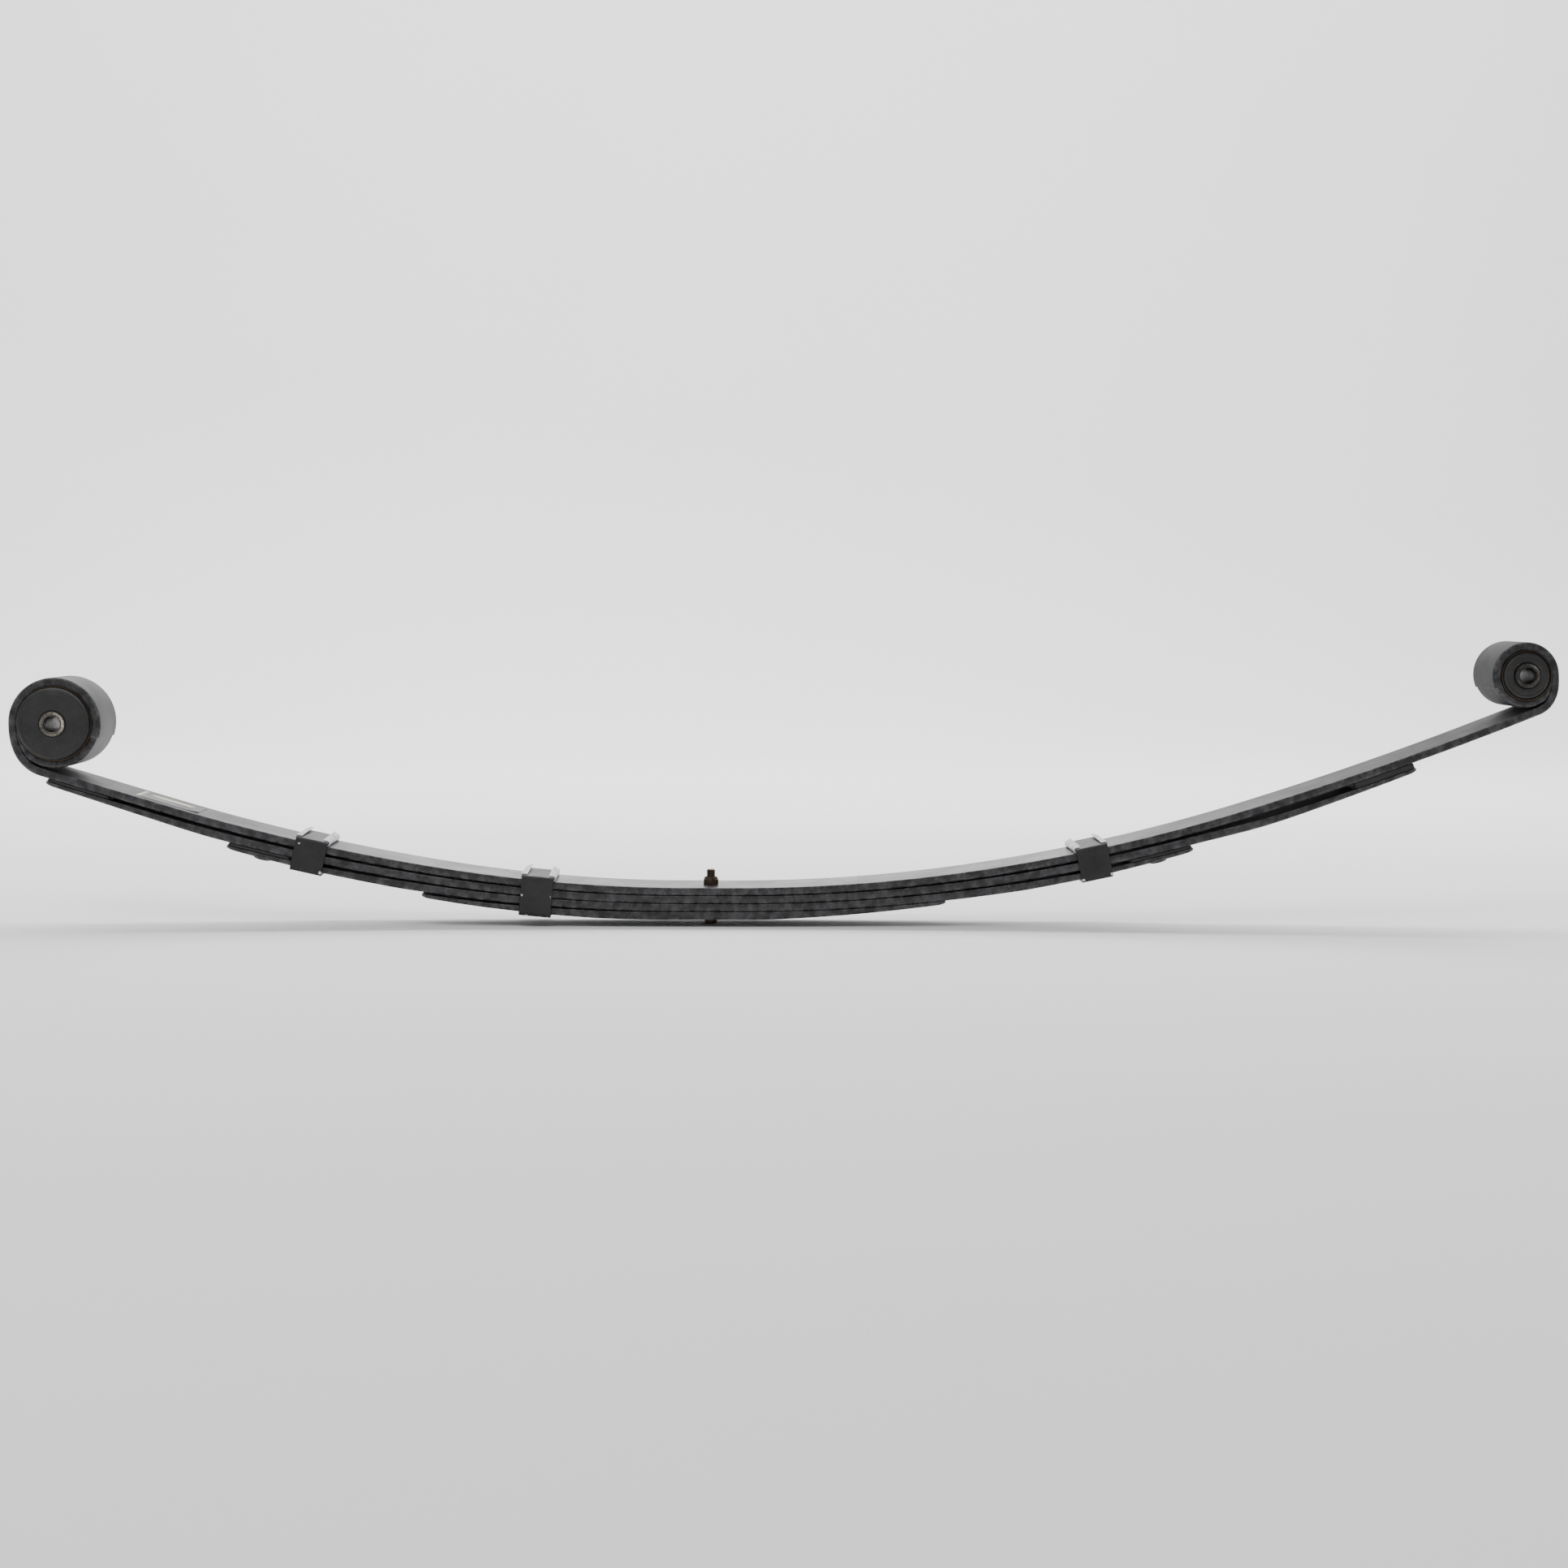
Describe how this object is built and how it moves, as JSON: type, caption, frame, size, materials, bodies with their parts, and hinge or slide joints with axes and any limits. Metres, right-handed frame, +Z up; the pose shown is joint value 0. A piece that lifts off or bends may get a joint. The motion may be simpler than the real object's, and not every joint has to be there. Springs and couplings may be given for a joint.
{
  "type": "leaf spring",
  "caption": "Semi-elliptic leaf spring with stacked leaves, upturned rolled eyes, rubber bushes, a centre bolt and rebound clips.",
  "frame": {"origin": "centre of the spring seat: the underside of the lowest leaf on the centre bolt's axis", "axes": "+X towards the rear eye (the small one), +Y across the leaves along the bush bores, +Z up out of the seat, towards the side the eyes are on"},
  "size_m": [1.3587, 0.0804, 0.2539],
  "materials": {
    "leaf_paint": "satin dark grey paint over shot-peened spring steel",
    "clip_paint": "satin dark grey paint, chipped on the folds",
    "liner_steel": "bright plated thin sheet",
    "bolt_steel": "dark bronze-brown oiled steel",
    "pad_plastic": "moulded dark plastic",
    "bush_rubber": "matt moulded rubber",
    "shell_paint": "thin dark coating on drawn tube",
    "sleeve_steel": "plated steel with serrated ends",
    "label_foil": "blank matt foil"
  },
  "bodies": {
    "pack": {"main_leaf": "leaf_paint", "second_leaf": "leaf_paint", "third_leaf": "leaf_paint", "fourth_leaf": "leaf_paint", "centre_bolt": "bolt_steel", "centre_nut": "bolt_steel", "front_clip": "clip_paint", "inner_clip": "clip_paint", "rear_clip": "clip_paint", "front_clip_rivet": "clip_paint", "inner_clip_rivet": "clip_paint", "rear_clip_rivet": "clip_paint", "front_clip_liner": "liner_steel", "inner_clip_liner": "liner_steel", "rear_clip_liner": "liner_steel", "second_leaf_front_pad": "pad_plastic", "second_leaf_rear_pad": "pad_plastic", "third_leaf_front_pad": "pad_plastic", "third_leaf_rear_pad": "pad_plastic", "front_bush_shell": "shell_paint", "front_bush_rubber": "bush_rubber", "part_label": "label_foil"},
    "rear_eye": {"rear_bush_shell": "shell_paint", "rear_bush_rubber": "bush_rubber"},
    "front_sleeve": {"front_bush_sleeve": "sleeve_steel"},
    "rear_sleeve": {"rear_bush_sleeve": "sleeve_steel"}
  },
  "joints": [
    {"name": "camber_flex", "type": "hinge", "parent": "pack", "child": "rear_eye", "pos_m": [0, 0, 0.0142], "axis": [0, 1, 0], "range_deg": [-4, 12], "stiffness_Nm_per_rad": 4400, "deforming": ["main_leaf"]},
    {"name": "front_bush_twist", "type": "hinge", "parent": "pack", "child": "front_sleeve", "pos_m": [-0.57141, 0, 0.17054], "axis": [0, 1, 0], "range_deg": [-20, 20], "stiffness_Nm_per_rad": 110},
    {"name": "rear_bush_twist", "type": "hinge", "parent": "rear_eye", "child": "rear_sleeve", "pos_m": [0.71756, 0, 0.21809], "axis": [0, 1, 0], "range_deg": [-20, 20], "stiffness_Nm_per_rad": 70}
  ]
}
